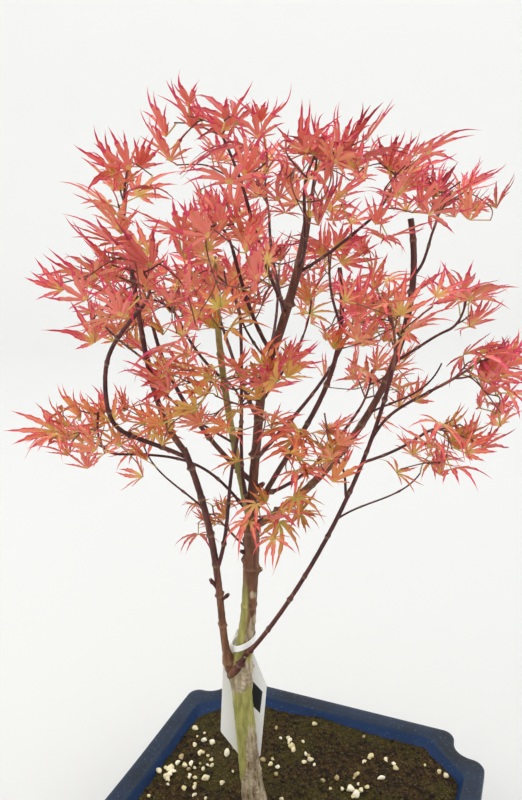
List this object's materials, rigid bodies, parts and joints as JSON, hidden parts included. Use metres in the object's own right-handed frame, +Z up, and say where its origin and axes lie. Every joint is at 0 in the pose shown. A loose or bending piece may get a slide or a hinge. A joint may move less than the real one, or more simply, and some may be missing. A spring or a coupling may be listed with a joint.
{
  "type": "potted maple tree",
  "caption": "Young grafted maple with several slender rising stems and pointed spring leaves, in a notched-corner glazed tray pot of soil with a blank tag.",
  "frame": {"origin": "middle of the pot's flat underside, at the height it stands on", "axes": "+Z up, +X along the pot's short side towards the side the crown leans over, +Y along its long side, away from the picture's camera"},
  "size_m": [0.2914, 0.3328, 0.5295],
  "materials": {
    "glaze": "glossy speckled glaze",
    "soil": "moist crumbs with pale grit",
    "old_bark": "smooth bark with scars",
    "young_bark": "smooth young bark",
    "green_bark": "smooth young bark",
    "leaf": "thin matt leaves",
    "label": "satin card"
  },
  "bodies": {
    "root": {"pot": "glaze", "trunk": "old_bark", "plant_tag": "label", "left_stem": "young_bark", "left_rise": "young_bark", "loop_low": "young_bark", "loop_high": "young_bark", "left_inner": "young_bark", "left_spur": "young_bark", "low_left": "young_bark", "back_left": "young_bark", "green_stem": "green_bark", "green_side": "young_bark", "inner_stem": "young_bark", "middle_stem": "young_bark", "right_stem": "young_bark", "low_right": "young_bark", "front_limb": "young_bark", "front_low": "young_bark", "front_outer": "young_bark", "front_spur": "young_bark", "upper_left": "young_bark", "upper_right": "young_bark", "top_left": "young_bark", "top_front": "young_bark", "far_right": "young_bark", "right_high": "young_bark", "middle_side": "young_bark", "rear_left": "young_bark", "rear_middle": "young_bark", "rear_right": "young_bark", "rear_top": "young_bark", "fork_spur": "young_bark", "leaves_left_top": "leaf", "leaves_left_front": "leaf", "leaves_centre_low": "leaf", "leaves_left_spur": "leaf", "leaves_left_low": "leaf", "leaves_back_left": "leaf", "leaves_centre_left": "leaf", "leaves_centre": "leaf", "leaves_middle_low": "leaf", "leaves_right_inner": "leaf", "leaves_right_low": "leaf", "leaves_right_outer": "leaf", "leaves_front_spur": "leaf", "leaves_centre_front": "leaf", "leaves_top_right": "leaf", "leaves_top_left": "leaf", "leaves_top_front": "leaf", "leaves_far_right": "leaf", "leaves_right_high": "leaf", "leaves_middle": "leaf", "leaves_rear_left": "leaf", "leaves_rear_middle": "leaf", "leaves_rear_right": "leaf", "leaves_rear_top": "leaf", "leaves_fork": "leaf", "leaves_top": "leaf", "soil": "soil"}
  },
  "joints": []
}
